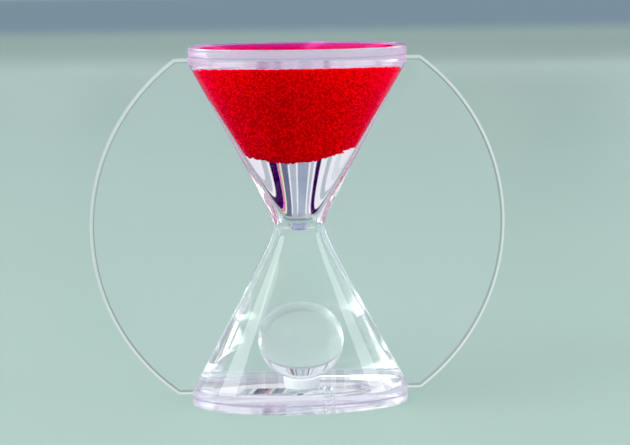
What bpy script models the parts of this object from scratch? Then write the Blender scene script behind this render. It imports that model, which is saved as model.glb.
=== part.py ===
"""A desk timer: a clear oval hourglass, filled with liquid and floating red beads, between two clear wings.

Metres, +Z up. The origin is on the table, under the middle of the base. The wings lie in the XZ plane.
A height along the hourglass is given as its rise above the waist, which is negative in the lower cone.
"""

import math

import bmesh
import bpy

# Driving dimensions
HEIGHT = 0.119
FLANGE_HALF_WIDTH = 0.036
FLANGE_HALF_DEPTH = 0.0215
NECK_HALF_WIDTH = 0.0085
NECK_HALF_DEPTH = 0.0062
NECK_ROUNDING = 0.0035
WALL = 0.0025
END_WALL = 0.004
LID_THICKNESS = 0.003
LIP_HEIGHT = 0.0022
SPIGOT_DEPTH = 0.0029
LID_EDGE_RADIUS = 0.0005
GAP = 0.0003

DISC_THICKNESS = 0.0012
DISC_LEDGE = 0.0008
BOSS_RADIUS = 0.0024
BOSS_HEIGHT = 0.0026
BOSS_CHAMFER = 0.0002
ORIFICE_RADIUS = 0.0018

WING_RADIUS = 0.069
WING_THICKNESS = 0.003
WING_FLAT_DROP = 0.0037
WING_EDGE_RADIUS = 0.0012

BALL_RADIUS = 0.0130
BALL_RISE = -0.0391
SEAT_RADIUS = 0.0055
SEAT_CUP_DEPTH = 0.0007
FILL_PLUG_RADIUS = 0.0015
FILL_PLUG_PLACE = (0.0078, -0.005)

HEAP_RISE = 0.0222
HEAP_SLOPE = 0.475
HEAP_ROUNDING = 0.012
HEAP_TILT = 0.065
CLUMP_RADIUS = 0.0013
CLUMP_HALF_HEIGHT = 0.0025

# How finely round shapes are divided
SEGMENTS = 48
CONE_ROWS = 7
WALL_ROWS = 3
BALL_ROWS = 8
WING_ARC_STEPS = 30
SHARP_ANGLE = math.radians(35)

# Heights worked out from the driving dimensions
WAIST_Z = HEIGHT / 2
LID_RISE = WAIST_Z - LID_THICKNESS
LIP_RISE = LID_RISE - LIP_HEIGHT
SPIGOT_RISE = LID_RISE - SPIGOT_DEPTH
DISC_SEAT_RISE = DISC_THICKNESS / 2 + GAP
LIQUID_END_RISE = BOSS_HEIGHT / 2 + GAP
SEAT_TOP_RISE = BALL_RISE - BALL_RADIUS + SEAT_CUP_DEPTH
CLUMP_RISE = HEAP_RISE + CLUMP_HALF_HEIGHT


# --- Shapes of the hourglass ---------------------------------------------------------------------

def outer_half_axes(rise):
    """Half width and half depth of the hourglass at this rise: a straight cone, rounded at the waist."""
    spread = math.hypot(rise, NECK_ROUNDING) - NECK_ROUNDING
    full_spread = math.hypot(LIP_RISE, NECK_ROUNDING) - NECK_ROUNDING
    share = min(spread / full_spread, 1)
    return (
        NECK_HALF_WIDTH + share * (FLANGE_HALF_WIDTH - NECK_HALF_WIDTH),
        NECK_HALF_DEPTH + share * (FLANGE_HALF_DEPTH - NECK_HALF_DEPTH),
    )


def cavity_half_axes(rise, inset=0.0):
    """Half axes of the cavity, or a little inside it. Its walls are thickest next to the wings."""
    half_width, half_depth = outer_half_axes(rise)
    return half_width - END_WALL - inset, half_depth - WALL - inset


def angles():
    """The angles of the points of a ring, anticlockwise seen from above."""
    return [math.tau * step / SEGMENTS for step in range(SEGMENTS)]


def oval_ring(half_axes, rise):
    """A level oval ring of points."""
    half_width, half_depth = half_axes
    return [
        (half_width * math.cos(angle), half_depth * math.sin(angle), WAIST_Z + rise)
        for angle in angles()
    ]


def round_ring(radius, rise):
    """A level round ring of points."""
    return oval_ring((radius, radius), rise)


def spaced_rises(near, far):
    """Rises from near the waist to far from it, closest together where the outline curves."""
    return [near + (far - near) * (row / CONE_ROWS) ** 2 for row in range(CONE_ROWS + 1)]


def outer_rings(near, far):
    """Rings up the outside of one cone."""
    return [oval_ring(outer_half_axes(rise), rise) for rise in spaced_rises(near, far)]


def cavity_rings(near, far, inset=0.0):
    """Rings up the cavity in one cone."""
    return [oval_ring(cavity_half_axes(rise, inset), rise) for rise in spaced_rises(near, far)]


def heap_surface_rise(x, y):
    """Rise of the heap of beads' underside: a shallow bowl round the axis, a little higher on the right."""
    spread = math.hypot(x, y, HEAP_ROUNDING) - HEAP_ROUNDING
    return HEAP_RISE + HEAP_SLOPE * spread + HEAP_TILT * x


def heap_rim_rise(angle):
    """Rise at which the underside of the heap meets the surface of what fills the cone."""
    rise = HEAP_RISE
    for _ in range(30):
        half_width, half_depth = cavity_half_axes(rise, GAP)
        rise = heap_surface_rise(half_width * math.cos(angle), half_depth * math.sin(angle))
    return rise


def heap_underside_rings(drop=0.0):
    """Rings across the underside of the heap, or a drop below it, from near the axis to near the wall."""
    rings = []
    for share in (1 / 3, 2 / 3):
        ring = []
        for angle in angles():
            half_width, half_depth = cavity_half_axes(heap_rim_rise(angle), GAP)
            x = share * half_width * math.cos(angle)
            y = share * half_depth * math.sin(angle)
            ring.append((x, y, WAIST_Z + heap_surface_rise(x, y) - drop))
        rings.append(ring)
    return rings


def rings_along_wall(end_rise, rows, drop=0.0):
    """Rings inside the wall, passing evenly from the heap's wavy rim, or a drop below it, to a level end."""
    rings = []
    for row in range(rows + 1):
        ring = []
        for angle in angles():
            rim = heap_rim_rise(angle) - drop
            rise = rim + (end_rise - rim) * row / rows
            half_width, half_depth = cavity_half_axes(rise, GAP)
            ring.append((half_width * math.cos(angle), half_depth * math.sin(angle), WAIST_Z + rise))
        rings.append(ring)
    return rings


# --- Blender objects -----------------------------------------------------------------------------

def clear_scene():
    """Remove everything that the startup scene holds."""
    for thing in list(bpy.data.objects):
        bpy.data.objects.remove(thing, do_unlink=True)


def make_material(name, colour, roughness, transmission=0.0, ior=1.49):
    """A Principled BSDF material."""
    material = bpy.data.materials.new(name)
    material.use_nodes = True
    shader = material.node_tree.nodes["Principled BSDF"]
    shader.inputs["Base Color"].default_value = (*colour, 1.0)
    shader.inputs["Roughness"].default_value = roughness
    shader.inputs["Transmission Weight"].default_value = transmission
    shader.inputs["IOR"].default_value = ior
    material.diffuse_color = (*colour, 1.0 - 0.7 * transmission)
    return material


def add_object(name, bm, material, parent=None):
    """Put a bmesh, drawn in its parent's coordinates, in the scene as an object."""
    bmesh.ops.recalc_face_normals(bm, faces=bm.faces)
    mesh = bpy.data.meshes.new(name)
    bm.to_mesh(mesh)
    bm.free()
    mesh.materials.append(material)
    mesh.shade_smooth()
    mesh.set_sharp_from_angle(angle=SHARP_ANGLE)
    thing = bpy.data.objects.new(name, mesh)
    thing.parent = parent
    bpy.context.scene.collection.objects.link(thing)
    return thing


def add_empty(name, location):
    """An empty that carries a group of pieces."""
    empty = bpy.data.objects.new(name, None)
    empty.location = location
    bpy.context.scene.collection.objects.link(empty)
    return empty


def loft(rings, hollow=False):
    """Skin a chain of rings. A hollow loft joins its last ring to its first, and any other is capped."""
    bm = bmesh.new()
    loops = [[bm.verts.new(point) for point in ring] for ring in rings]
    pairs = list(zip(loops, loops[1:]))
    if hollow:
        pairs.append((loops[-1], loops[0]))
    else:
        bm.faces.new(loops[0])
        bm.faces.new(loops[-1])
    for first, second in pairs:
        for step in range(SEGMENTS):
            after = (step + 1) % SEGMENTS
            bm.faces.new((first[step], first[after], second[after], second[step]))
    return bm


def mirror_in_waist(bm):
    """Turn an upper piece into its lower twin."""
    for vert in bm.verts:
        vert.co.z = HEIGHT - vert.co.z
    return bm


def cylinder(radius, low_rise, high_rise, place=(0.0, 0.0)):
    """A round bar that stands on a place, from one rise to another."""
    bm = bmesh.new()
    bmesh.ops.create_cone(
        bm, cap_ends=True, segments=SEGMENTS // 2, radius1=radius, radius2=radius, depth=high_rise - low_rise
    )
    middle = (*place, WAIST_Z + (low_rise + high_rise) / 2)
    bmesh.ops.translate(bm, vec=middle, verts=bm.verts)
    return bm


def cut(thing, cutter_bm, cutter_name):
    """Cut a hidden solid out of an object."""
    cutter = add_object(cutter_name, cutter_bm, thing.data.materials[0])
    cutter.hide_render = True
    cutter.display_type = "WIRE"
    boolean = thing.modifiers.new(cutter_name, "BOOLEAN")
    boolean.operation = "DIFFERENCE"
    boolean.object = cutter


def round_edges(thing, radius):
    """Round an object's sharp edges."""
    bevel = thing.modifiers.new("rounded_edges", "BEVEL")
    bevel.width = radius
    bevel.segments = 1
    bevel.limit_method = "ANGLE"
    bevel.angle_limit = SHARP_ANGLE


# --- Sub-parts -----------------------------------------------------------------------------------

def cone_shell():
    """The upper cone: outside up to the lip, then inside down to the ledge that holds the flow disc."""
    mouth = cavity_half_axes(SPIGOT_RISE)
    ledge = cavity_half_axes(0.0, -DISC_LEDGE - GAP)
    outside = outer_rings(GAP / 2, LIP_RISE)
    lip = [
        oval_ring((FLANGE_HALF_WIDTH, FLANGE_HALF_DEPTH), LID_RISE - GAP),
        oval_ring(mouth, LID_RISE - GAP),
    ]
    inside = cavity_rings(DISC_SEAT_RISE, SPIGOT_RISE)[::-1]
    disc_seat = [oval_ring(ledge, DISC_SEAT_RISE), oval_ring(ledge, GAP / 2)]
    return loft(outside + lip + inside + disc_seat, hollow=True)


def add_cones(materials, parent):
    add_object("upper_cone", cone_shell(), materials["acrylic"], parent)
    add_object("lower_cone", mirror_in_waist(cone_shell()), materials["acrylic"], parent)


def lid_plate():
    """The upper lid: a flat oval plate, and a spigot that drops into the cone's mouth."""
    plate = (FLANGE_HALF_WIDTH, FLANGE_HALF_DEPTH)
    spigot = cavity_half_axes(SPIGOT_RISE, GAP)
    return loft([
        oval_ring(spigot, SPIGOT_RISE),
        oval_ring(spigot, LID_RISE),
        oval_ring(plate, LID_RISE),
        oval_ring(plate, WAIST_Z),
    ])


def add_lids(materials, parent):
    upper = add_object("upper_lid", lid_plate(), materials["acrylic"], parent)
    round_edges(upper, LID_EDGE_RADIUS)
    base = add_object("base_lid", mirror_in_waist(lid_plate()), materials["acrylic"], parent)
    round_edges(base, LID_EDGE_RADIUS)
    cut(base, cylinder(SEAT_RADIUS + GAP, -LID_RISE, -SPIGOT_RISE + GAP), "seat_recess_cutter")
    plug_hole = cylinder(FILL_PLUG_RADIUS + GAP, -WAIST_Z - GAP, -SPIGOT_RISE + GAP, FILL_PLUG_PLACE)
    cut(base, plug_hole, "plug_hole_cutter")


def add_flow_disc(materials, parent):
    """The thin oval disc in the waist, with a barrel-shaped boss whose small hole meters the beads."""
    outline = cavity_half_axes(0.0, -DISC_LEDGE)
    half = DISC_THICKNESS / 2
    boss_half = BOSS_HEIGHT / 2
    mouth = ORIFICE_RADIUS + BOSS_CHAMFER
    rings = [
        oval_ring(outline, -half),
        oval_ring(outline, half),
        round_ring(BOSS_RADIUS, half),
        round_ring(mouth, boss_half),
        round_ring(ORIFICE_RADIUS, boss_half - BOSS_CHAMFER),
        round_ring(ORIFICE_RADIUS, BOSS_CHAMFER - boss_half),
        round_ring(mouth, -boss_half),
        round_ring(BOSS_RADIUS, -half),
    ]
    add_object("flow_disc", loft(rings, hollow=True), materials["acrylic"], parent)


def wing_outline():
    """The right wing's edge: a round outer arc, short flats, and an inner edge along the hourglass."""
    flat_rise = WAIST_Z - WING_FLAT_DROP
    corner_angle = math.asin(flat_rise / WING_RADIUS)
    arc = []
    for step in range(WING_ARC_STEPS + 1):
        angle = corner_angle * (1 - 2 * step / WING_ARC_STEPS)
        arc.append((WING_RADIUS * math.cos(angle), WING_RADIUS * math.sin(angle)))
    rises = spaced_rises(GAP / 2, LIP_RISE)
    beside_cone = [(outer_half_axes(rise)[0] + GAP, rise) for rise in rises]
    beside_cone.append((FLANGE_HALF_WIDTH + GAP, flat_rise))
    below = [(across, -rise) for across, rise in reversed(beside_cone)]
    return arc, below + beside_cone


def wing(side):
    """A flat sheet with a rounded outer rim, on the right (side 1) or the left (side -1)."""
    arc, inner_edge = wing_outline()
    half = WING_THICKNESS / 2
    bm = bmesh.new()
    points = [bm.verts.new((side * x, -half, WAIST_Z + rise)) for x, rise in arc + inner_edge]
    front = bm.faces.new(points)
    grown = bmesh.ops.extrude_face_region(bm, geom=[front])["geom"]
    back = [item for item in grown if isinstance(item, bmesh.types.BMVert)]
    bmesh.ops.translate(bm, vec=(0.0, WING_THICKNESS, 0.0), verts=back)
    near_rim = WING_RADIUS - GAP
    rim = [
        edge for edge in bm.edges
        if all(math.hypot(vert.co.x, vert.co.z - WAIST_Z) > near_rim for vert in edge.verts)
        and edge.verts[0].co.y == edge.verts[1].co.y
    ]
    bmesh.ops.bevel(bm, geom=rim, offset=WING_EDGE_RADIUS, segments=3, profile=0.5, affect="EDGES")
    return bm


def add_wings(materials, parent):
    add_object("right_wing", wing(1), materials["acrylic"], parent)
    add_object("left_wing", wing(-1), materials["acrylic"], parent)


def add_ball(materials, parent):
    """The glass ball, which can lift a little off its seat when the timer is turned over."""
    bm = bmesh.new()
    bmesh.ops.create_uvsphere(bm, u_segments=SEGMENTS // 2, v_segments=SEGMENTS // 4, radius=BALL_RADIUS)
    add_object("glass_ball", bm, materials["ball_glass"], parent)


def add_ball_seat(materials, parent):
    """The milky stub, let into the base, whose cupped top carries the ball."""
    stub = cylinder(SEAT_RADIUS, -LID_RISE + GAP, SEAT_TOP_RISE)
    seat = add_object("ball_seat", stub, materials["milky"], parent)
    cup = bmesh.new()
    rows = SEGMENTS // 2
    bmesh.ops.create_uvsphere(cup, u_segments=rows, v_segments=rows, radius=BALL_RADIUS + GAP)
    bmesh.ops.translate(cup, vec=(0.0, 0.0, WAIST_Z + BALL_RISE), verts=cup.verts)
    cut(seat, cup, "ball_cup_cutter")


def add_fill_plug(materials, parent):
    """The small stopper in the base's filling hole."""
    plug = cylinder(FILL_PLUG_RADIUS, -WAIST_Z + GAP, -SPIGOT_RISE - GAP, FILL_PLUG_PLACE)
    add_object("fill_plug", plug, materials["acrylic"], parent)


def add_bead_charge(materials, parent):
    """The packed beads, floating under the lid: a heap with a bowl-shaped underside, and a pit in it."""
    pit_radius = CLUMP_RADIUS + GAP
    pit_mouth = [(x, y, WAIST_Z + heap_surface_rise(x, y)) for x, y, _ in round_ring(pit_radius, 0.0)]
    pit = [round_ring(pit_radius, CLUMP_RISE + CLUMP_HALF_HEIGHT + GAP), pit_mouth]
    wall = rings_along_wall(SPIGOT_RISE - GAP, WALL_ROWS)
    add_object("bead_charge", loft(pit + heap_underside_rings() + wall), materials["beads"], parent)


def ball_bowl_rings():
    """The hollow that the ball and its seat leave in the liquid, from the floor to the top of the ball."""
    clear_seat = SEAT_RADIUS + GAP
    clear_ball = BALL_RADIUS + GAP
    lowest = math.asin(clear_seat / clear_ball)
    highest = math.pi - math.asin(GAP / clear_ball)
    rings = [round_ring(clear_seat, -SPIGOT_RISE + GAP)]
    for row in range(BALL_ROWS + 1):
        turn = lowest + (highest - lowest) * row / BALL_ROWS
        rings.append(round_ring(clear_ball * math.sin(turn), BALL_RISE - clear_ball * math.cos(turn)))
    return rings


def add_liquid(materials, parent):
    """The filling, from the heap of beads through the orifice to the floor round the ball."""
    column = ORIFICE_RADIUS - GAP
    top = [round_ring(GAP, heap_surface_rise(0.0, 0.0) - GAP)] + heap_underside_rings(drop=GAP)
    upper_wall = rings_along_wall(LIQUID_END_RISE, CONE_ROWS, drop=GAP)
    orifice = [round_ring(column, LIQUID_END_RISE), round_ring(column, -LIQUID_END_RISE)]
    lower_wall = cavity_rings(-LIQUID_END_RISE, -SPIGOT_RISE + GAP, GAP)
    filling = loft(top + upper_wall + orifice + lower_wall + ball_bowl_rings())
    add_object("clear_liquid", filling, materials["liquid"], parent)


def add_rising_beads(materials, parent):
    """A clump of beads that has floated up the axis into the pit under the heap."""
    bm = bmesh.new()
    bmesh.ops.create_icosphere(bm, subdivisions=3, radius=CLUMP_RADIUS)
    bmesh.ops.scale(bm, vec=(1.0, 1.0, CLUMP_HALF_HEIGHT / CLUMP_RADIUS), verts=bm.verts)
    add_object("rising_beads", bm, materials["beads"], parent)


def make_materials():
    return {
        "acrylic": make_material("clear_acrylic", (0.90, 0.94, 0.94), 0.03, transmission=0.95, ior=1.49),
        "ball_glass": make_material("ball_glass", (0.92, 0.96, 0.95), 0.02, transmission=0.95, ior=1.52),
        "milky": make_material("milky_acrylic", (0.85, 0.85, 0.88), 0.45, transmission=0.3, ior=1.49),
        "liquid": make_material("clear_filling", (0.93, 0.96, 0.95), 0.0, transmission=1.0, ior=1.40),
        "beads": make_material("red_beads", (0.75, 0.01, 0.01), 0.35),
    }


def main():
    clear_scene()
    materials = make_materials()
    housing = add_empty("housing_frame", (0.0, 0.0, 0.0))
    ball_carrier = add_empty("ball_carrier", (0.0, 0.0, WAIST_Z + BALL_RISE))
    bead_carrier = add_empty("bead_carrier", (0.0, 0.0, WAIST_Z + CLUMP_RISE))
    add_cones(materials, housing)
    add_lids(materials, housing)
    add_flow_disc(materials, housing)
    add_wings(materials, housing)
    add_ball_seat(materials, housing)
    add_fill_plug(materials, housing)
    add_bead_charge(materials, housing)
    add_liquid(materials, housing)
    add_ball(materials, ball_carrier)
    add_rising_beads(materials, bead_carrier)


main()
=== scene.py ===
"""Looks of the bead timer: clear shells, the filling, thousands of beads, the glass ball and a pale studio.

Lengths are in metres. A height along the hourglass is given as its rise above the waist, negative below it.
The clear pieces touch: a face that meets the filling lets light through, and the filling bends it instead.
"""

import itertools
import math

import bmesh
import bpy
import numpy as np
from mathutils import Matrix, Vector


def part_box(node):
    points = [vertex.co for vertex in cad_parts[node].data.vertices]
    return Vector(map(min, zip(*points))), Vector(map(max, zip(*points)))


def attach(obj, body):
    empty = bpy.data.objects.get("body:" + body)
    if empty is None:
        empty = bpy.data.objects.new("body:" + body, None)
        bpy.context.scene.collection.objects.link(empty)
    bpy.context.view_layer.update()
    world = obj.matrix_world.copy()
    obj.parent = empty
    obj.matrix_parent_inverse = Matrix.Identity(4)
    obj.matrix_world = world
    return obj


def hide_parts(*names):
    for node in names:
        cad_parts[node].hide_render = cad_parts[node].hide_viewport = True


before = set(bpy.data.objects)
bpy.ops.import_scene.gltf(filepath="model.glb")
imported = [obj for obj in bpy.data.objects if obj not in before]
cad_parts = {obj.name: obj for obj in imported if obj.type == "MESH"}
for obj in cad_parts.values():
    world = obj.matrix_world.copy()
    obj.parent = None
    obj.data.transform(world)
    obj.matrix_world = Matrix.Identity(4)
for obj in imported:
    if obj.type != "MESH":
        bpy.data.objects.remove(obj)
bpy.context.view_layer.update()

# Sizes taken from the frame
FLANGE_HALF_WIDTH, FLANGE_HALF_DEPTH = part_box("upper_lid")[1][0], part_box("upper_lid")[1][1]
FLANGE = (FLANGE_HALF_WIDTH, FLANGE_HALF_DEPTH)
WAIST_Z = (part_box("base_lid")[0][2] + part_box("upper_lid")[1][2]) / 2
TOP_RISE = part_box("upper_lid")[1][2] - WAIST_Z
SPIGOT_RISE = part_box("upper_lid")[0][2] - WAIST_Z
BALL_LOW, BALL_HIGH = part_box("glass_ball")
BALL_RADIUS = (BALL_HIGH[2] - BALL_LOW[2]) / 2
BALL_RISE = (BALL_HIGH[2] + BALL_LOW[2]) / 2 - WAIST_Z
SEAT_LOW, SEAT_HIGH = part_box("ball_seat")
SEAT_RADIUS = SEAT_HIGH[0]
PLUG_LOW, PLUG_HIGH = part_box("fill_plug")
PLUG_RADIUS = (PLUG_HIGH[0] - PLUG_LOW[0]) / 2
PLUG_MIDDLE = ((PLUG_HIGH[0] + PLUG_LOW[0]) / 2, (PLUG_HIGH[1] + PLUG_LOW[1]) / 2, 0.0)
WING_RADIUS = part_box("right_wing")[1][0]
WING_HALF_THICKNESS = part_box("right_wing")[1][1]
WING_FLAT_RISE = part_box("right_wing")[1][2] - WAIST_Z
DISC_HALF_WIDTH, DISC_HALF_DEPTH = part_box("flow_disc")[1][0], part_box("flow_disc")[1][1]
BOSS_HALF_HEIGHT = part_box("flow_disc")[1][2] - WAIST_Z
CLUMP_LOW, CLUMP_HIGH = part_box("rising_beads")

# Sizes that the frame's boxes don't give by themselves
GAP = 0.0003
WALL = 0.0025
END_WALL = 0.004
DISC_LEDGE = 0.0008
DISC_HALF_THICKNESS = 0.0006
BOSS_RADIUS = 0.0024
BOSS_CHAMFER = 0.0002
LID_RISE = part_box("upper_cone")[1][2] + GAP - WAIST_Z
LIP_HEIGHT = 0.0022
LIP_RISE = LID_RISE - LIP_HEIGHT
NECK_ROUNDING = 0.0035
NECK_HALF_WIDTH = DISC_HALF_WIDTH + END_WALL - DISC_LEDGE
NECK_HALF_DEPTH = DISC_HALF_DEPTH + WALL - DISC_LEDGE
ORIFICE_RADIUS = 0.0018
HEAP_RISE = CLUMP_LOW[2] - WAIST_Z
PIT_RADIUS = CLUMP_HIGH[0] + GAP
HEAP_SLOPE = 0.475
HEAP_ROUNDING = 0.012
HEAP_TILT = 0.065
EDGE_RADIUS = 0.0005
SEAM_GROOVE = 0.00025
LIP_STEP = 0.0005
WING_RIM = 0.00144
SEAT_EDGE_RADIUS = 0.0002
PLUG_GROOVE = 0.00018
FLOOR_DROP = 0.0002

# Play between cemented pieces, and between the filling and what it wets
JOIN = 0.00002
FILM = 0.00001

# Beads: their size, how they are packed, and how far they stray from their rows
BEAD_RADIUS = 0.00035
BEAD_PITCH = 0.00068
BEAD_SIZE_RANGE = (0.92, 1.04)
ROW_SPACING = 0.866
LAYER_SPACING = 0.816
LAYER_SHIFT = 0.289
BEAD_SCATTER = 0.00012
WALL_SCATTER = 1.6 * BEAD_SCATTER
SURFACE_SCATTER = 2.5 * BEAD_SCATTER
TOP_LAYER_DEPTH = 0.0006
CORE_TOP_INSET = 2.6 * BEAD_RADIUS
CLUMP_REACH = 1.05

# How finely round shapes are divided
SEGMENTS = 192
CONE_ROWS = 40
CORNER_STEPS = 4
WING_ARC_STEPS = 120
CUP_STEPS = 8
CORE_ROWS = 12
PERIMETER_STEPS = 720
SHARP_ANGLE = math.radians(35)

# Refractive indices
ACRYLIC_INDEX = 1.49
FILLING_INDEX = 1.34
GLASS_INDEX = 1.60

# Colours used more than once: the pale room, also the colour of the painted glow on clear parts
PALE_SKY = (0.80, 0.86, 0.92, 1.0)

# Painted glow of the beads, which stands in for light: none at this X, more to either side of it, and more
# again above this height
GLOW_DIMMEST_X = -0.007
GLOW_PER_METRE_ACROSS = 10.0
GLOW_RISES_ABOVE = 0.102
GLOW_PER_METRE_UP = 16.0

# Material slots of the clear pieces
AIR, BOND, WET, FACE, EDGE, BOSS, SEAM = range(7)
WING_RIM_SLOT = 1

# Camera, as fitted to the view asked for
CAMERA_AZIMUTH = math.radians(-6.0)
CAMERA_ELEVATION = math.radians(7.84)
CAMERA_ROLL = math.radians(0.53)
CAMERA_DISTANCE = 0.79
CAMERA_LENS = 136.4
AIM_RIGHT, AIM_UP = 0.0053, 0.0009
FOCUS_BEFORE_AXIS = 0.005
CAMERA_STOP = 22.0

FLOOR_REACH = 2.2

RANDOM = np.random.default_rng(7)


# --- Outlines ------------------------------------------------------------------------------------

def outer_half_axes(rise):
    """Half width and half depth of the hourglass at this rise."""
    spread = np.hypot(rise, NECK_ROUNDING) - NECK_ROUNDING
    full_spread = math.hypot(LIP_RISE, NECK_ROUNDING) - NECK_ROUNDING
    share = np.minimum(spread / full_spread, 1.0)
    return (
        NECK_HALF_WIDTH + share * (FLANGE_HALF_WIDTH - NECK_HALF_WIDTH),
        NECK_HALF_DEPTH + share * (FLANGE_HALF_DEPTH - NECK_HALF_DEPTH),
    )


def cavity_half_axes(rise, inset=0.0):
    """Half axes of the cavity, whose walls are thickest at the ends that carry the wings."""
    half_width, half_depth = outer_half_axes(rise)
    return half_width - END_WALL - inset, half_depth - WALL - inset


def oval_ring(half_axes, rise):
    """A level oval ring of points, or a wavy one if the rise differs from point to point."""
    angle = np.arange(SEGMENTS) * math.tau / SEGMENTS
    half_width, half_depth = half_axes
    height = WAIST_Z + rise + 0 * angle
    return np.stack([half_width * np.cos(angle), half_depth * np.sin(angle), height], axis=1)


def round_ring(radius, rise):
    return oval_ring((radius, radius), rise)


def mirror_ring(ring):
    """The ring's twin on the other side of the waist."""
    turned = ring.copy()
    turned[:, 2] = 2 * WAIST_Z - turned[:, 2]
    return turned


def inset_by(half_axes, inset):
    return half_axes[0] - inset, half_axes[1] - inset


def spaced_rises(near, far):
    """Rises from near the waist to far from it, closest together where the outline curves."""
    return [near + (far - near) * (row / CONE_ROWS) ** 2 for row in range(CONE_ROWS + 1)]


def outer_rings(near, far):
    return [oval_ring(outer_half_axes(rise), rise) for rise in spaced_rises(near, far)]


def cavity_rings(near, far, inset=0.0):
    return [oval_ring(cavity_half_axes(rise, inset), rise) for rise in spaced_rises(near, far)]


def heap_surface_rise(x, y):
    """Rise of the underside of the heap of beads: a shallow bowl, a little higher on the right."""
    spread = np.sqrt(x**2 + y**2 + HEAP_ROUNDING**2) - HEAP_ROUNDING
    return HEAP_RISE + HEAP_SLOPE * spread + HEAP_TILT * x


def boss_rings(away=0.0):
    """Rings from the flow disc's upper face over its boss and into the hole, or a little away from them."""
    mouth = ORIFICE_RADIUS + BOSS_CHAMFER
    rings = []
    for step in range(2 * CORNER_STEPS + 1):
        turn = math.pi / 4 * step / CORNER_STEPS
        radius = mouth + (BOSS_RADIUS - mouth) * math.cos(turn)
        rise = DISC_HALF_THICKNESS + (BOSS_HALF_HEIGHT - DISC_HALF_THICKNESS) * math.sin(turn)
        rings.append(round_ring(radius + away, rise + away))
    rings.append(round_ring(ORIFICE_RADIUS - away, BOSS_HALF_HEIGHT - BOSS_CHAMFER))
    return rings


# --- Meshes --------------------------------------------------------------------------------------

def link_object(name, data):
    """A new object in the scene."""
    thing = bpy.data.objects.new(name, data)
    bpy.context.scene.collection.objects.link(thing)
    return thing


def add_object(name, bm, materials):
    """Put a bmesh in the scene as a smooth-shaded object."""
    bmesh.ops.recalc_face_normals(bm, faces=bm.faces)
    mesh = bpy.data.meshes.new(name)
    bm.to_mesh(mesh)
    bm.free()
    for material in materials:
        mesh.materials.append(material)
    mesh.shade_smooth()
    mesh.set_sharp_from_angle(angle=SHARP_ANGLE)
    return link_object(name, mesh)


def loft(bands, hollow=False, last_cap=AIR):
    """Skin a chain of (ring, slot) bands, where the slot is that of the faces up to the next ring.

    A hollow loft joins its last ring to its first. Any other is capped: the first cap takes the first
    band's slot.
    """
    bm = bmesh.new()
    loops = [[bm.verts.new(point) for point in ring] for ring, _ in bands]
    slots = [slot for _, slot in bands]
    for index, first in enumerate(loops):
        if index + 1 == len(loops) and not hollow:
            break
        second = loops[(index + 1) % len(loops)]
        for step in range(SEGMENTS):
            after = (step + 1) % SEGMENTS
            face = bm.faces.new((first[step], first[after], second[after], second[step]))
            face.material_index = slots[index]
    if not hollow:
        bm.faces.new(loops[0]).material_index = slots[0]
        bm.faces.new(loops[-1]).material_index = last_cap
    return bm


def banded(rings, slot):
    return [(ring, slot) for ring in rings]


def mirror_in_waist(bm):
    """Turn an upper piece into its lower twin."""
    for vert in bm.verts:
        vert.co.z = 2 * WAIST_Z - vert.co.z
    return bm


def take_place_of(node, thing, body="housing"):
    """Let an object take a CAD node's place and ride on its body."""
    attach(thing, body)
    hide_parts(node)


def stand_in(name, node, bm, materials, body="housing"):
    """A finished piece, made of a bmesh, in place of a CAD node."""
    thing = add_object(name, bm, materials)
    take_place_of(node, thing, body)
    return thing


# --- Materials -----------------------------------------------------------------------------------

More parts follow.
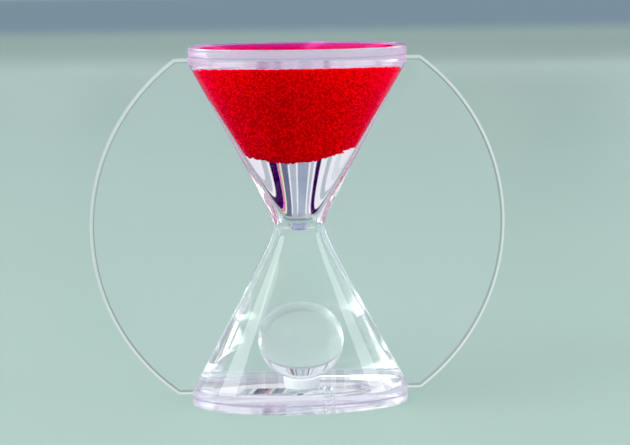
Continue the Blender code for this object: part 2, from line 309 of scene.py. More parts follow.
class Shader:
    """A new material's node tree, with short ways to add and join nodes."""

    def __init__(self, name):
        self.material = bpy.data.materials.new(name)
        self.material.use_nodes = True
        self.tree = self.material.node_tree
        self.tree.nodes.clear()
        self.output = self.add("ShaderNodeOutputMaterial")

    def add(self, kind, **values):
        """Add a node. A value goes to the input of that name, with _ for a space."""
        node = self.tree.nodes.new(kind)
        for key, value in values.items():
            socket = node.inputs[key.replace("_", " ")]
            if isinstance(value, bpy.types.NodeSocket):
                self.tree.links.new(value, socket)
            else:
                socket.default_value = value
        return node

    def join(self, source, target):
        self.tree.links.new(source, target)

    def place(self):
        """Object coordinates, in metres."""
        return self.add("ShaderNodeTexCoord").outputs["Object"]

    def noise(self, scale, detail=3.0):
        return self.add("ShaderNodeTexNoise", Vector=self.place(), Scale=scale, Detail=detail).outputs["Fac"]

    def ramp(self, share, first, second, start=0.0, end=1.0):
        """A colour that runs from the first to the second as the share goes from start to end."""
        node = self.add("ShaderNodeValToRGB", Fac=share)
        elements = node.color_ramp.elements
        elements[0].color = (*first, 1.0)
        elements[1].color = (*second, 1.0)
        elements[0].position = start
        elements[1].position = end
        return node.outputs["Color"]

    def spread(self, value, low, high):
        """Map a 0 to 1 value to a range."""
        node = self.add("ShaderNodeMapRange", Value=value)
        node.inputs["To Min"].default_value = low
        node.inputs["To Max"].default_value = high
        return node.outputs["Result"]

    def math(self, operation, first, second=0.0, third=0.0):
        """A Math node's result."""
        node = self.tree.nodes.new("ShaderNodeMath")
        node.operation = operation
        for socket, value in zip(node.inputs, (first, second, third)):
            if isinstance(value, bpy.types.NodeSocket):
                self.join(value, socket)
            else:
                socket.default_value = value
        return node.outputs[0]

    def mix(self, share, first, second):
        """Mix two surfaces, where the share is the second one's."""
        node = self.tree.nodes.new("ShaderNodeMixShader")
        if isinstance(share, bpy.types.NodeSocket):
            self.join(share, node.inputs[0])
        else:
            node.inputs[0].default_value = share
        self.join(first, node.inputs[1])
        self.join(second, node.inputs[2])
        return node.outputs[0]

    def bump(self, height, strength, distance):
        node = self.add("ShaderNodeBump", Height=height, Strength=strength, Distance=distance)
        return node.outputs["Normal"]

    def ripple(self, waviness):
        """The faint unevenness of a buffed clear face."""
        return self.bump(self.noise(90.0, 2.0), waviness, 0.0004)

    def glow(self, colour, strength=1.0):
        return self.add("ShaderNodeEmission", Color=colour, Strength=strength).outputs[0]

    def finish(self, surface):
        self.join(surface, self.output.inputs["Surface"])
        return self.material

    def let_light_in(self, surface):
        """Let lamps and bounced light pass straight through, so that what is inside is lit."""
        path = self.add("ShaderNodeLightPath")
        either = self.math("MAXIMUM", path.outputs["Is Shadow Ray"], path.outputs["Is Diffuse Ray"])
        clear = self.add("ShaderNodeBsdfTransparent", Color=(0.97, 0.98, 0.98, 1.0))
        return self.finish(self.mix(either, surface, clear.outputs[0]))


def clear_material(name, index, tint, waviness, painted_glow=0.0):
    """A polished clear surface, with the faint ripple and haze of a buffed part, and a share of painted pale
    glow that stands in for light.
    """
    shader = Shader(name)
    ripple = shader.ripple(waviness)
    haze_and_painted_glow = shader.spread(shader.noise(700.0), 0.0, 0.025)
    glass = shader.add("ShaderNodeBsdfGlass", Color=(*tint, 1.0), Roughness=haze_and_painted_glow, IOR=index, Normal=ripple)
    return shader.let_light_in(shader.mix(painted_glow, glass.outputs[0], shader.glow(PALE_SKY)))


def calmed_material(name, painted_sheen_tint, most_mirror):
    """Clear acrylic that mirrors less on its outside than bare acrylic would, so the beads show through; a
    tint on its reflections paints a coloured sheen.
    """
    shader = Shader(name)
    ripple = shader.ripple(0.02)
    mirror = shader.add("ShaderNodeFresnel", IOR=ACRYLIC_INDEX, Normal=ripple)
    through = shader.add("ShaderNodeBsdfRefraction", Roughness=0.0, IOR=ACRYLIC_INDEX, Normal=ripple)
    gloss = shader.add("ShaderNodeBsdfGlossy", Color=(*painted_sheen_tint, 1.0), Roughness=0.01, Normal=ripple)
    share = shader.spread(mirror.outputs[0], 0.0, most_mirror)
    from_outside = shader.mix(share, through.outputs[0], gloss.outputs[0])
    from_inside = shader.add("ShaderNodeBsdfGlass", Roughness=0.0, IOR=ACRYLIC_INDEX, Normal=ripple)
    inside = shader.add("ShaderNodeNewGeometry").outputs["Backfacing"]
    return shader.let_light_in(shader.mix(inside, from_outside, from_inside.outputs[0]))


def satin_material(name, painted_glow_colour, painted_glow_share):
    """A machined edge of clear acrylic: glassy, under a fine grainy painted glow of the given colour that
    stands in for light and shade.
    """
    shader = Shader(name)
    grain = shader.noise(400.0, 4.0)
    glass = shader.add(
        "ShaderNodeBsdfGlass", Color=(0.985, 0.99, 0.995, 1.0), Roughness=0.12, IOR=ACRYLIC_INDEX,
        Normal=shader.bump(grain, 0.05, 0.0002),
    )
    # Painted glow: an emission that stands in for the light on the edge
    haze_and_painted_glow = shader.glow((*painted_glow_colour, 1.0))
    share = shader.spread(grain, painted_glow_share - 0.06, painted_glow_share + 0.06)
    return shader.let_light_in(shader.mix(share, glass.outputs[0], haze_and_painted_glow))


def wing_rim_material():
    """The wing's rounded rim: a painted pale glow where it gathers light, with a darker painted shade line
    along its inner border.
    """
    shader = Shader("wing_rim")
    place = shader.add("ShaderNodeVectorMath")
    place.operation = "SUBTRACT"
    shader.join(shader.place(), place.inputs[0])
    place.inputs[1].default_value = (0.0, 0.0, WAIST_Z)
    axes = shader.add("ShaderNodeSeparateXYZ", Vector=place.outputs[0])
    across, up = axes.outputs["X"], axes.outputs["Z"]
    squares = shader.math("MULTIPLY_ADD", across, across, shader.math("MULTIPLY", up, up))
    from_arc = shader.math("SUBTRACT", WING_RADIUS, shader.math("SQRT", squares))
    from_flat = shader.math("SUBTRACT", WING_FLAT_RISE, shader.math("ABSOLUTE", up))
    inset = shader.math("DIVIDE", shader.math("MINIMUM", from_arc, from_flat), WING_RIM)
    # Painted glow: pale on the outer rim, a darker painted shade line towards its inner border
    haze_and_painted_glow = shader.glow(shader.ramp(inset, (0.74, 0.84, 0.82), (0.24, 0.32, 0.34), 0.55, 0.85))
    grain = shader.noise(300.0)
    glass = shader.add(
        "ShaderNodeBsdfGlass", Roughness=0.04, IOR=ACRYLIC_INDEX, Normal=shader.bump(grain, 0.03, 0.0003),
    )
    share = shader.spread(grain, 0.52, 0.68)
    return shader.let_light_in(shader.mix(share, glass.outputs[0], haze_and_painted_glow))


def contact_material(name, tint):
    """A face in optical contact with its neighbour, where nothing bends."""
    shader = Shader(name)
    clear = shader.add("ShaderNodeBsdfTransparent", Color=(*tint, 1.0))
    return shader.finish(clear.outputs[0])


def bond_material():
    """A cemented seam: clear, with cloudy streaks where the cement is thin."""
    shader = Shader("cemented_seam")
    streaks = shader.spread(shader.noise(260.0, 4.0), -0.25, 0.55)
    seam = shader.add("ShaderNodeBsdfGlass", Roughness=0.05, IOR=1.06)
    clear = shader.add("ShaderNodeBsdfTransparent")
    return shader.let_light_in(shader.mix(streaks, clear.outputs[0], seam.outputs[0]))


def milky_material():
    """The translucent white stub under the ball, with a faint painted glow."""
    shader = Shader("milky_acrylic")
    clouds = shader.noise(500.0, 4.0)
    body = shader.add(
        "ShaderNodeBsdfPrincipled", Roughness=0.35,
        Base_Color=shader.ramp(clouds, (0.78, 0.76, 0.82), (0.95, 0.94, 0.97)),
        Normal=shader.bump(clouds, 0.2, 0.0002),
        Subsurface_Weight=0.6, Subsurface_Radius=(0.004, 0.004, 0.004),
        # Painted glow: a faint pale emission
        Emission_Color=(0.9, 0.88, 1.0, 1.0), Emission_Strength=0.12,
    )
    return shader.finish(body.outputs[0])


def bead_material():
    """Red polymer beads, each a slightly different red, with a painted red glow, and painted pale when seen
    by way of a reflection.
    """
    shader = Shader("red_beads")
    grain = shader.add("ShaderNodeNewGeometry").outputs["Random Per Island"]
    place = shader.add("ShaderNodeSeparateXYZ", Vector=shader.place())
    from_dimmest = shader.math("ABSOLUTE", shader.math("SUBTRACT", place.outputs["X"], GLOW_DIMMEST_X))
    # Painted glow: brighter to either side of GLOW_DIMMEST_X and above GLOW_RISES_ABOVE
    glow = shader.math("MULTIPLY_ADD", from_dimmest, GLOW_PER_METRE_ACROSS, shader.spread(grain, 0.02, 0.09))
    over = shader.math("MAXIMUM", shader.math("SUBTRACT", place.outputs["Z"], GLOW_RISES_ABOVE), 0.0)
    body = shader.add(
        "ShaderNodeBsdfPrincipled", IOR=1.12,
        Base_Color=shader.ramp(grain, (0.42, 0.0, 0.002), (0.95, 0.002, 0.008)),
        Roughness=shader.spread(shader.noise(900.0), 0.3, 0.55),
        Emission_Color=(1.0, 0.0, 0.004, 1.0),
        Emission_Strength=shader.math("MULTIPLY_ADD", over, GLOW_PER_METRE_UP, glow),
    )
    # Painted reflection: seen by way of a reflection, the beads show a pale lavender glow
    painted_reflection_share = shader.math("MINIMUM", shader.add("ShaderNodeLightPath").outputs["Glossy Depth"], 0.8)
    return shader.finish(shader.mix(painted_reflection_share, body.outputs[0], shader.glow((0.72, 0.60, 0.72, 1.0))))


def core_material():
    """The shaded depth between the outermost beads."""
    shader = Shader("bead_shade")
    body = shader.add(
        "ShaderNodeBsdfPrincipled", Roughness=0.9, IOR=1.05,
        Base_Color=shader.ramp(shader.noise(1500.0), (0.20, 0.0, 0.0), (0.40, 0.0, 0.0)),
        # Painted glow: a faint red emission in the painted shade
        Emission_Color=(1.0, 0.0, 0.002, 1.0), Emission_Strength=0.20,
    )
    return shader.finish(body.outputs[0])


def floor_material():
    """A plain pale tabletop, faintly mottled and faintly glossy."""
    shader = Shader("pale_tabletop")
    mottle = shader.ramp(shader.noise(3.0, 2.0), (0.335, 0.492, 0.43), (0.38, 0.542, 0.48))
    body = shader.add("ShaderNodeBsdfPrincipled", Base_Color=mottle, Roughness=0.5)
    return shader.finish(body.outputs[0])


def make_materials():
    # A faint painted pale glow on the clear acrylic, and a stronger one on the ball
    air = clear_material("clear_acrylic", ACRYLIC_INDEX, (0.985, 0.992, 0.992), 0.02, painted_glow=0.04)
    bond = bond_material()
    wetted = contact_material("wetted_face", (1.0, 1.0, 1.0))
    boss = contact_material("wetted_boss", (0.92, 0.88, 0.98))
    # Tinted reflections: a painted magenta sheen on the lid's face, and a painted lavender sheen on the clear
    # parts over the beads
    lid_face = calmed_material("lid_face", (1.0, 0.26, 1.0), 0.60)
    # Edges get a painted pale glow; by the beads a painted pink glow, and in the seam grooves a dim painted
    # glow that stands for shade
    edge = satin_material("machined_edge", (0.80, 0.76, 0.93), 0.29)
    pink_glow_edge = satin_material("edge_by_beads", (0.80, 0.56, 0.84), 0.28)
    seam = satin_material("seam_groove", (0.42, 0.38, 0.60), 0.55)
    over_beads = calmed_material("clear_over_beads", (0.55, 0.42, 0.75), 1.0)
    ball = clear_material("ball_glass", GLASS_INDEX / FILLING_INDEX, (0.97, 0.99, 0.985), 0.01, painted_glow=0.12)
    return {
        "clear": [air, bond, wetted, lid_face, edge, boss, seam],
        "over_beads": [over_beads, bond, wetted, lid_face, pink_glow_edge, boss, seam],
        "wing": [air, wing_rim_material()],
        "filling": [clear_material("clear_filling", FILLING_INDEX / ACRYLIC_INDEX, (0.995, 1.0, 0.998), 0.0)],
        "ball": [ball],
        "milky": [milky_material()],
        "beads": [bead_material()],
        "core": [core_material()],
    }


# --- Clear shells --------------------------------------------------------------------------------

def cone_shell():
    """The upper cone, from its cemented neck up the outside, over the mouth and down the inside."""
    mouth = cavity_half_axes(SPIGOT_RISE)
    ledge = (DISC_HALF_WIDTH + JOIN, DISC_HALF_DEPTH + JOIN)
    disc_top = DISC_HALF_THICKNESS + JOIN
    bands = banded(outer_rings(JOIN, LIP_RISE - LIP_STEP), AIR)
    bands[-1] = (bands[-1][0], SEAM)
    bands.append((oval_ring(FLANGE, LIP_RISE - LIP_STEP + JOIN), EDGE))
    bands.append((oval_ring(FLANGE, LID_RISE - JOIN - SEAM_GROOVE), SEAM))
    bands.append((oval_ring(inset_by(FLANGE, SEAM_GROOVE), LID_RISE - JOIN), BOND))
    bands.append((oval_ring(mouth, LID_RISE - JOIN), BOND))
    bands += banded(cavity_rings(disc_top, SPIGOT_RISE)[::-1], WET)
    bands.append((oval_ring(ledge, disc_top), WET))
    bands.append((oval_ring(ledge, JOIN), WET))
    return loft(bands, hollow=True)


def lid_outside():
    """The bands of a lid's outside, from the cemented rim to the rounded edge of its face."""
    bands = [
        (oval_ring(inset_by(FLANGE, SEAM_GROOVE), LID_RISE), SEAM),
        (oval_ring(FLANGE, LID_RISE + SEAM_GROOVE), EDGE),
    ]
    for step in range(CORNER_STEPS + 1):
        turn = math.pi / 2 * step / CORNER_STEPS
        inset = EDGE_RADIUS * (1 - math.cos(turn))
        rise = TOP_RISE - EDGE_RADIUS * (1 - math.sin(turn))
        bands.append((oval_ring(inset_by(FLANGE, inset), rise), AIR))
    return bands


def upper_lid():
    """The upper lid, whose spigot dips into the cone and is wet underneath."""
    spigot = cavity_half_axes(SPIGOT_RISE, JOIN)
    bands = [(oval_ring(spigot, SPIGOT_RISE), BOND), (oval_ring(spigot, LID_RISE), BOND)]
    bm = loft(bands + lid_outside(), last_cap=FACE)
    lowest = min(bm.faces, key=lambda face: face.calc_center_median().z)
    lowest.material_index = WET
    return bm


def base_lid():
    """The foot: the upper lid's twin, with a pocket for the ball's seat."""
    spigot = cavity_half_axes(SPIGOT_RISE, JOIN)
    pocket = SEAT_RADIUS + JOIN
    pocket_floor = WAIST_Z - SEAT_LOW[2] + JOIN
    bands = [
        (round_ring(pocket, pocket_floor), BOND),
        (round_ring(pocket, SPIGOT_RISE), WET),
        (oval_ring(spigot, SPIGOT_RISE), BOND),
        (oval_ring(spigot, LID_RISE), BOND),
    ]
    return mirror_in_waist(loft(bands + lid_outside()))


def flow_disc():
    """The thin oval disc in the waist, with a barrel-shaped boss round its hole."""
    outline = (DISC_HALF_WIDTH, DISC_HALF_DEPTH)
    over_boss = boss_rings()
    under_boss = [mirror_ring(ring) for ring in over_boss[::-1]]
    bands = [(oval_ring(outline, -DISC_HALF_THICKNESS), WET), (oval_ring(outline, DISC_HALF_THICKNESS), WET)]
    bands += banded(over_boss + under_boss, BOSS)
    bands[-1] = (under_boss[-1], WET)
    return loft(bands, hollow=True)


def wing(side):
    """A clear sheet whose outer rim is fully rounded and whose inner edge follows the hourglass."""
    corner_angle = math.asin(WING_FLAT_RISE / WING_RADIUS)
    points = []
    for step in range(WING_ARC_STEPS + 1):
        angle = corner_angle * (1 - 2 * step / WING_ARC_STEPS)
        points.append((WING_RADIUS * math.cos(angle), WING_RADIUS * math.sin(angle)))
    rises = spaced_rises(0.0, LIP_RISE - LIP_STEP)
    beside = [(float(outer_half_axes(rise)[0]) + JOIN, rise) for rise in rises]
    beside.append((FLANGE_HALF_WIDTH + JOIN, LIP_RISE - LIP_STEP))
    beside.append((FLANGE_HALF_WIDTH + JOIN, WING_FLAT_RISE))
    points += [(across, -rise) for across, rise in reversed(beside[1:])] + beside
    bm = bmesh.new()
    half = WING_HALF_THICKNESS
    front = bm.faces.new([bm.verts.new((side * x, -half, WAIST_Z + rise)) for x, rise in points])
    grown = bmesh.ops.extrude_face_region(bm, geom=[front])["geom"]
    back = [item for item in grown if isinstance(item, bmesh.types.BMVert)]
    bmesh.ops.translate(bm, vec=(0.0, 2 * half, 0.0), verts=back)
    round_wing_rim(bm)
    return bm


def round_wing_rim(bm):
    """Round both edges of a wing's outer arc and of its flats."""
    rim = []
    for edge in bm.edges:
        ends = [vert.co for vert in edge.verts]
        level = abs(ends[0].y - ends[1].y) < JOIN
        on_arc = all(math.hypot(end.x, end.z - WAIST_Z) > WING_RADIUS - JOIN for end in ends)
        on_flat = all(abs(abs(end.z - WAIST_Z) - WING_FLAT_RISE) < JOIN for end in ends)
        if level and (on_arc or on_flat):
            rim.append(edge)
    bmesh.ops.bevel(
        bm, geom=rim, offset=WING_RIM, segments=5, profile=0.5, affect="EDGES", material=WING_RIM_SLOT,
    )


def fill_plug():
    """The stopper in the base, with the grooves that grip its hole."""
    low, high = PLUG_LOW[2] - WAIST_Z, PLUG_HIGH[2] - WAIST_Z
    turns = 6
    bands = []
    for step in range(2 * turns + 1):
        depth = PLUG_GROOVE if step % 2 else 0.0
        bands.append((round_ring(PLUG_RADIUS - depth, low + (high - low) * step / (2 * turns)), AIR))
    bm = loft(bands)
    bmesh.ops.translate(bm, vec=PLUG_MIDDLE, verts=bm.verts)
    return bm


def cut_plug_hole(base):
    """Bore the filling hole through the finished base, and keep the result as its mesh."""
    bm = bmesh.new()
    radius = PLUG_RADIUS + GAP
    well_through = 0.04
    bmesh.ops.create_cone(bm, cap_ends=True, segments=64, radius1=radius, radius2=radius, depth=well_through)
    bmesh.ops.translate(bm, vec=PLUG_MIDDLE, verts=bm.verts)
    cutter = add_object("plug_hole_cutter", bm, base.data.materials)
    boolean = base.modifiers.new("plug_hole", "BOOLEAN")
    boolean.object = cutter
    boolean.operation = "DIFFERENCE"
    finished = bpy.data.meshes.new_from_object(base.evaluated_get(bpy.context.evaluated_depsgraph_get()))
    base.modifiers.clear()
    base.data = finished
    bpy.data.objects.remove(cutter, do_unlink=True)


def add_clear_shells(materials):
    clear = materials["clear"]
    stand_in("upper_cone_clear", "upper_cone", cone_shell(), materials["over_beads"])
    stand_in("lower_cone_clear", "lower_cone", mirror_in_waist(cone_shell()), clear)
    stand_in("upper_lid_clear", "upper_lid", upper_lid(), materials["over_beads"])
    base = stand_in("base_lid_clear", "base_lid", base_lid(), clear)
    stand_in("flow_disc_clear", "flow_disc", flow_disc(), clear)
    stand_in("left_wing_clear", "left_wing", wing(-1), materials["wing"])
    stand_in("right_wing_clear", "right_wing", wing(1), materials["wing"])
    cut_plug_hole(base)
    stand_in("fill_plug_clear", "fill_plug", fill_plug(), clear)


# --- Filling, ball and seat ----------------------------------------------------------------------

def add_filling(materials):
    """The liquid, which fills everything between the lids and shares its outline with the wetted faces."""
    upper = cavity_rings(DISC_HALF_THICKNESS + FILM, SPIGOT_RISE - FILM, FILM)[::-1] + boss_rings(FILM)
    lower = [mirror_ring(ring) for ring in upper[::-1]]
    bm = loft(banded(upper + lower, AIR))
    stand_in("filling", "clear_liquid", bm, materials["filling"])


def add_ball(materials):
    bm = bmesh.new()
    bmesh.ops.create_uvsphere(bm, u_segments=96, v_segments=48, radius=BALL_RADIUS)
    bmesh.ops.translate(bm, vec=(0.0, 0.0, WAIST_Z + BALL_RISE), verts=bm.verts)
    stand_in("ball_glass", "glass_ball", bm, materials["ball"], body="ball")


def add_ball_seat(materials):
    """The milky stub, whose cup is a hair wider than the ball and ends where it meets the flat rim."""
    low = SEAT_LOW[2] - WAIST_Z
    rim = SEAT_HIGH[2] - WAIST_Z
    cup_radius = BALL_RADIUS + GAP / 4
    cup_edge = math.sqrt(cup_radius**2 - (BALL_RISE - rim) ** 2)
    bands = [
        (round_ring(SEAT_RADIUS - SEAT_EDGE_RADIUS, low), AIR),
        (round_ring(SEAT_RADIUS, low + SEAT_EDGE_RADIUS), AIR),
        (round_ring(SEAT_RADIUS, rim - SEAT_EDGE_RADIUS), AIR),
        (round_ring(SEAT_RADIUS - SEAT_EDGE_RADIUS, rim), AIR),
    ]
    for step in range(CUP_STEPS):
        radius = cup_edge * (1 - step / CUP_STEPS)
        bands.append((round_ring(radius, BALL_RISE - math.sqrt(cup_radius**2 - radius**2)), AIR))
    stand_in("ball_seat_milky", "ball_seat", loft(bands), materials["milky"])


# --- Beads ---------------------------------------------------------------------------------------

def wall_bead_places():
    """Rows of bead centres against the inside of the cone, from the lid down to the heap's edge."""
    rows = []
    slope = (FLANGE_HALF_WIDTH - NECK_HALF_WIDTH) / LIP_RISE
    row_height = BEAD_PITCH * ROW_SPACING / math.hypot(1.0, slope)
    inset = BEAD_RADIUS + FILM
    rise = SPIGOT_RISE - BEAD_RADIUS
    while rise > HEAP_RISE:
        half_width, half_depth = cavity_half_axes(rise, inset)
        fine = np.linspace(0.0, math.tau, PERIMETER_STEPS + 1)
        steps = np.hypot(half_width * np.sin(fine[:-1]), half_depth * np.cos(fine[:-1]))
        length = np.concatenate([[0.0], np.cumsum(steps)])
        length *= math.tau / PERIMETER_STEPS
        count = int(length[-1] / BEAD_PITCH)
        along = (np.arange(count) + RANDOM.uniform(0.0, 1.0)) * length[-1] / count % length[-1]
        along += RANDOM.normal(0.0, BEAD_SCATTER, count)
        angle = np.interp(along, length, fine)
        depth = RANDOM.uniform(0.0, WALL_SCATTER, count)
        height = rise + RANDOM.normal(0.0, BEAD_SCATTER, count)
        wide, deep = cavity_half_axes(height, inset + depth)
        rows.append(np.stack([wide * np.cos(angle), deep * np.sin(angle), height], axis=1))
        rise -= row_height
    places = np.concatenate(rows)
    under_lid = places[:, 2] < SPIGOT_RISE - BEAD_RADIUS
    ragged = RANDOM.normal(BEAD_RADIUS, SURFACE_SCATTER, len(places))
    in_heap = places[:, 2] > heap_surface_rise(places[:, 0], places[:, 1]) + ragged
    return places[under_lid & in_heap]


def level_bead_places(half_axes):
    """Bead centres of a close-packed layer that fills an oval, seen from above."""
    half_width, half_depth = half_axes
    row_step = BEAD_PITCH * ROW_SPACING
    rows = []
    for row in range(int(2 * half_depth / row_step) + 1):
        y = -half_depth + row * row_step
        reach = half_width * math.sqrt(max(1 - (y / half_depth) ** 2, 0.0))
        x = np.arange(-reach + (row % 2) * BEAD_PITCH / 2, reach, BEAD_PITCH)
        rows.append(np.stack([x, np.full(len(x), y), np.zeros(len(x))], axis=1))
    places = np.concatenate(rows)
    places[:, :2] += RANDOM.normal(0.0, BEAD_SCATTER, (len(places), 2))
    return places


def top_bead_places():
    """The layer of beads pressed up against the lid."""
    places = level_bead_places(cavity_half_axes(SPIGOT_RISE - BEAD_RADIUS, 2 * BEAD_RADIUS))
    places[:, 2] = SPIGOT_RISE - BEAD_RADIUS - RANDOM.uniform(FILM, TOP_LAYER_DEPTH, len(places))
    return places


def heap_bead_places():
    """The layer of beads on the heap's underside, which leaves the clump's pit open."""
    widest = heap_surface_rise(FLANGE_HALF_WIDTH / 2, 0.0)
    places = level_bead_places(cavity_half_axes(widest, BEAD_RADIUS))
    surface = heap_surface_rise(places[:, 0], places[:, 1])
    places[:, 2] = surface + BEAD_RADIUS + RANDOM.normal(0.0, SURFACE_SCATTER, len(places))
    wide, deep = cavity_half_axes(places[:, 2], BEAD_RADIUS)
    inside_cone = (places[:, 0] / wide) ** 2 + (places[:, 1] / deep) ** 2 < 1.0
    clear_of_pit = np.hypot(places[:, 0], places[:, 1]) > PIT_RADIUS + BEAD_RADIUS
    return places[inside_cone & clear_of_pit]


def clump_bead_places():
    """The beads of the clump that rises up the axis, inside its CAD solid."""
    half_width = CLUMP_HIGH[0] - BEAD_RADIUS
    half_height = (CLUMP_HIGH[2] - CLUMP_LOW[2]) / 2 - BEAD_RADIUS
    middle = (CLUMP_HIGH[2] + CLUMP_LOW[2]) / 2 - WAIST_Z
    step = 2 * BEAD_RADIUS
    layers, rows = range(-6, 7), range(-4, 5)
    places = []
    for layer, row, column in itertools.product(layers, rows, rows):
        x = (column + 0.5 * (row % 2) + 0.5 * (layer % 2)) * step
        y = (row * ROW_SPACING + LAYER_SHIFT * (layer % 2)) * step
        z = layer * LAYER_SPACING * step
        if math.hypot(math.hypot(x, y) / half_width, z / half_height) < CLUMP_REACH:
            places.append((x, y, middle + z))
    return np.array(places)


def add_beads(name, places, node, materials, body="housing"):
    """One mesh of many small round beads."""
    pattern = bmesh.new()
    bmesh.ops.create_icosphere(pattern, subdivisions=1, radius=1.0)
    corners = np.array([vert.co[:] for vert in pattern.verts])
    triangles = np.array([[vert.index for vert in face.verts] for face in pattern.faces])
    pattern.free()
    count = len(places)
    spin = RANDOM.uniform(0.0, math.tau, count)
    cosine, sine = np.cos(spin)[:, None], np.sin(spin)[:, None]
    turned = np.stack([
        corners[:, 0] * cosine - corners[:, 1] * sine,
        corners[:, 0] * sine + corners[:, 1] * cosine,
        np.broadcast_to(corners[:, 2], (count, len(corners))),
    ], axis=2)
    size = BEAD_RADIUS * RANDOM.uniform(*BEAD_SIZE_RANGE, count)
    centres = places + np.array([0.0, 0.0, WAIST_Z])
    points = (turned * size[:, None, None] + centres[:, None, :]).reshape(-1, 3)
    faces = (triangles[None] + (np.arange(count) * len(corners))[:, None, None]).reshape(-1, 3)
    mesh = bpy.data.meshes.new(name)
    mesh.vertices.add(len(points))
    mesh.vertices.foreach_set("co", points.astype(np.float32).ravel())
    mesh.loops.add(len(faces) * 3)
    mesh.loops.foreach_set("vertex_index", faces.astype(np.int32).ravel())
    mesh.polygons.add(len(faces))
    mesh.polygons.foreach_set("loop_start", np.arange(0, len(faces) * 3, 3, dtype=np.int32))
    mesh.update(calc_edges=True)
    mesh.shade_smooth()
    mesh.materials.append(materials["beads"][0])
    take_place_of(node, link_object(name, mesh), body)


def add_bead_core(materials):
    """The inside of the charge, just within the outermost beads, painted dark for the shade there."""
    inset = 2 * BEAD_RADIUS
    angle = np.arange(SEGMENTS) * math.tau / SEGMENTS
    rim = np.full(SEGMENTS, HEAP_RISE)
    settling_passes = 30
    for _ in range(settling_passes):
        wide, deep = cavity_half_axes(rim, inset)
        rim = heap_surface_rise(wide * np.cos(angle), deep * np.sin(angle)) + BEAD_RADIUS
    pit_mouth = heap_surface_rise(PIT_RADIUS * np.cos(angle), PIT_RADIUS * np.sin(angle)) + BEAD_RADIUS
    rings = [round_ring(PIT_RADIUS, CLUMP_HIGH[2] - WAIST_Z + GAP), round_ring(PIT_RADIUS, pit_mouth)]
    top = SPIGOT_RISE - CORE_TOP_INSET
    for row in range(CORE_ROWS + 1):
        rise = rim + (top - rim) * row / CORE_ROWS
        rings.append(oval_ring(cavity_half_axes(rise, inset), rise))
    stand_in("bead_core", "bead_charge", loft(banded(rings, AIR)), materials["core"])


def add_bead_charge(materials):
    add_bead_core(materials)
    wall = wall_bead_places()
    front = wall[:, 1] < 0
    add_beads("beads_front", wall[front], "bead_charge", materials)
    add_beads("beads_back", wall[~front], "bead_charge", materials)
    add_beads("beads_under_lid", top_bead_places(), "bead_charge", materials)
    add_beads("beads_of_heap", heap_bead_places(), "bead_charge", materials)
    add_beads("beads_rising", clump_bead_places(), "rising_beads", materials, body="beads_afloat")


# --- Studio --------------------------------------------------------------------------------------

def facing_object(place, forward_axis):
    """A placing that turns the given axis of what stands there to the object's middle."""
    place = Vector(place)
    aim = Vector((0.0, 0.0, WAIST_Z)) - place
    return Matrix.Translation(place) @ aim.to_track_quat(forward_axis, "Y").to_matrix().to_4x4()


def add_floor():
    """The tabletop, a hair below the base."""
    bm = bmesh.new()
    bmesh.ops.create_grid(bm, x_segments=1, y_segments=1, size=FLOOR_REACH)
    bmesh.ops.translate(bm, vec=(0.0, 0.0, -FLOOR_DROP), verts=bm.verts)
    add_object("tabletop", bm, [floor_material()])


def add_softbox(name, place, size, watts, colour):
    """A rectangular lamp that faces the object."""
    lamp = bpy.data.lights.new(name, "AREA")
    lamp.shape = "RECTANGLE"
    lamp.size, lamp.size_y = size
    lamp.energy = watts
    lamp.color = colour
    link_object(name, lamp).matrix_world = facing_object(place, "-Z")


def add_card(name, middle, size, colour, strength):
    """A card of one flat brightness that faces the object."""
    half_width, half_height = size[0] / 2, size[1] / 2
    bm = bmesh.new()
    signs = ((-1, -1), (1, -1), (1, 1), (-1, 1))
    bm.faces.new([bm.verts.new((across * half_width, up * half_height, 0.0)) for across, up in signs])
    shader = Shader(name)
    material = shader.finish(shader.glow((*colour, 1.0), strength))
    card = add_object(name, bm, [material])
    card.matrix_world = facing_object(middle, "Z")


def add_cards():
    """Cards outside the camera's view, which the clear parts bend into sight, and a strip along its top."""
    far = 1.5
    bottle_middle, bottle_height = 0.31, 0.46
    pale = (0.91, 0.91, 0.98)
    navy = (0.012, 0.012, 0.07)
    slate = (0.13, 0.17, 0.25)
    add_card("window_card", (0.0, far + 0.2, 0.57), (3.4, 0.94), pale, 0.95)
    add_card("left_window_card", (-1.7, 0.5, 0.5), (1.3, 0.9), (1.0, 0.92, 0.97), 1.25)
    add_card("right_window_card", (1.7, 0.5, 0.5), (1.3, 0.9), (0.82, 0.74, 1.0), 1.35)
    bottles = (
        ("navy_bottle", 0.405, 0.090, navy),
        ("magenta_bottle", 0.348, 0.014, (0.75, 0.0, 0.45)),
        ("yellow_bottle", 0.334, 0.010, (0.6, 0.7, 0.0)),
        ("slate_bottle", 0.285, 0.065, slate),
        ("grey_bottle", 0.11, 0.10, (0.31, 0.39, 0.50)),
        ("thin_navy_bottle", -0.03, 0.045, navy),
        ("misty_bottle", 0.205, 0.06, (0.42, 0.50, 0.60)),
        ("pale_bottle", 0.03, 0.03, (0.45, 0.52, 0.62)),
        ("left_mist", 0.53, 0.08, (0.48, 0.54, 0.58)),
        ("right_mist", -0.14, 0.05, (0.46, 0.53, 0.58)),
        ("right_haze", -0.26, 0.07, (0.70, 0.75, 0.80)),
        ("far_slate_bottle", -0.62, 0.10, slate),
    )
    for name, x, width, colour in bottles:
        add_card(name, (x, far, bottle_middle), (width, bottle_height), colour, 1.0)
    add_card("far_wall", (0.0, FLOOR_REACH + 0.01, 0.0), (2 * FLOOR_REACH, 0.09), (0.20, 0.30, 0.36), 1.0)


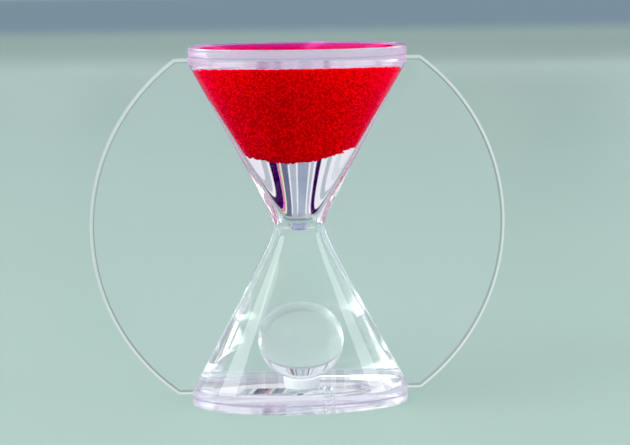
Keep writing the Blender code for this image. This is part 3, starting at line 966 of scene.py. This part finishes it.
def add_room():
    """A pale room, brighter beyond the object than on the camera's side, which the front reflects."""
    world = bpy.data.worlds.new("pale_room")
    world.use_nodes = True
    tree = world.node_tree
    place = tree.nodes.new("ShaderNodeTexCoord")
    split = tree.nodes.new("ShaderNodeSeparateXYZ")
    tree.links.new(place.outputs["Generated"], split.inputs[0])
    ramp = tree.nodes.new("ShaderNodeMapRange")
    tree.links.new(split.outputs["Y"], ramp.inputs["Value"])
    ramp.inputs["From Min"].default_value = -0.5
    ramp.inputs["From Max"].default_value = 0.5
    ramp.inputs["To Min"].default_value = 0.42
    ramp.inputs["To Max"].default_value = 0.55
    background = tree.nodes["Background"]
    background.inputs["Color"].default_value = PALE_SKY
    tree.links.new(ramp.outputs["Result"], background.inputs["Strength"])
    bpy.context.scene.world = world


def add_lights():
    """A soft, even light from the upper left, and softboxes whose reflections run along the edges."""
    sun = bpy.data.lights.new("soft_daylight", "SUN")
    sun.energy = 1.9
    sun.angle = math.radians(60)
    sun.color = (1.0, 0.99, 0.97)
    from_upper_left = Vector((-0.5, -0.45, 1.0)).to_track_quat("Z", "Y")
    link_object("soft_daylight", sun).matrix_world = from_upper_left.to_matrix().to_4x4()
    add_softbox("left_softbox", (-1.0, -0.5, 0.7), (0.5, 0.7), 5.0, (1.0, 0.98, 0.97))
    add_softbox("right_softbox", (1.0, -0.4, 0.6), (0.4, 0.8), 4.0, (0.93, 0.95, 1.0))


def add_camera():
    """The camera, focused just in front of the axis and with a little blur far behind it."""
    camera = link_object("camera", bpy.data.cameras.new("camera"))
    camera.data.lens = CAMERA_LENS
    camera.data.clip_start = 0.01
    camera.data.dof.use_dof = True
    camera.data.dof.focus_distance = CAMERA_DISTANCE - FOCUS_BEFORE_AXIS
    camera.data.dof.aperture_fstop = CAMERA_STOP
    back = Vector((
        math.sin(CAMERA_AZIMUTH) * math.cos(CAMERA_ELEVATION),
        -math.cos(CAMERA_AZIMUTH) * math.cos(CAMERA_ELEVATION),
        math.sin(CAMERA_ELEVATION),
    ))
    right = Vector((math.cos(CAMERA_AZIMUTH), math.sin(CAMERA_AZIMUTH), 0.0))
    aim = Vector((0.0, 0.0, WAIST_Z + AIM_UP)) + AIM_RIGHT * right
    turn = (-back).to_track_quat("-Z", "Y").to_matrix().to_4x4()
    camera.matrix_world = (
        Matrix.Translation(aim + CAMERA_DISTANCE * back) @ turn @ Matrix.Rotation(-CAMERA_ROLL, 4, "Z")
    )
    bpy.context.scene.camera = camera


def set_light_paths():
    """Enough bounces to see through every clear face."""
    cycles = bpy.context.scene.cycles
    cycles.max_bounces = 40
    cycles.transmission_bounces = 32
    cycles.glossy_bounces = 12
    cycles.transparent_max_bounces = 48
    cycles.diffuse_bounces = 4


def set_view():
    """Colours shown as they are, apart from a raised black level."""
    view = bpy.context.scene.view_settings
    view.view_transform = "Standard"
    view.use_curve_mapping = True
    curves = view.curve_mapping
    curves.black_level = (0.010, 0.033, 0.025)
    curves.update()


def main():
    materials = make_materials()
    add_clear_shells(materials)
    add_filling(materials)
    add_ball(materials)
    add_ball_seat(materials)
    add_bead_charge(materials)
    add_floor()
    add_room()
    add_cards()
    add_lights()
    add_camera()
    set_light_paths()
    set_view()


main()
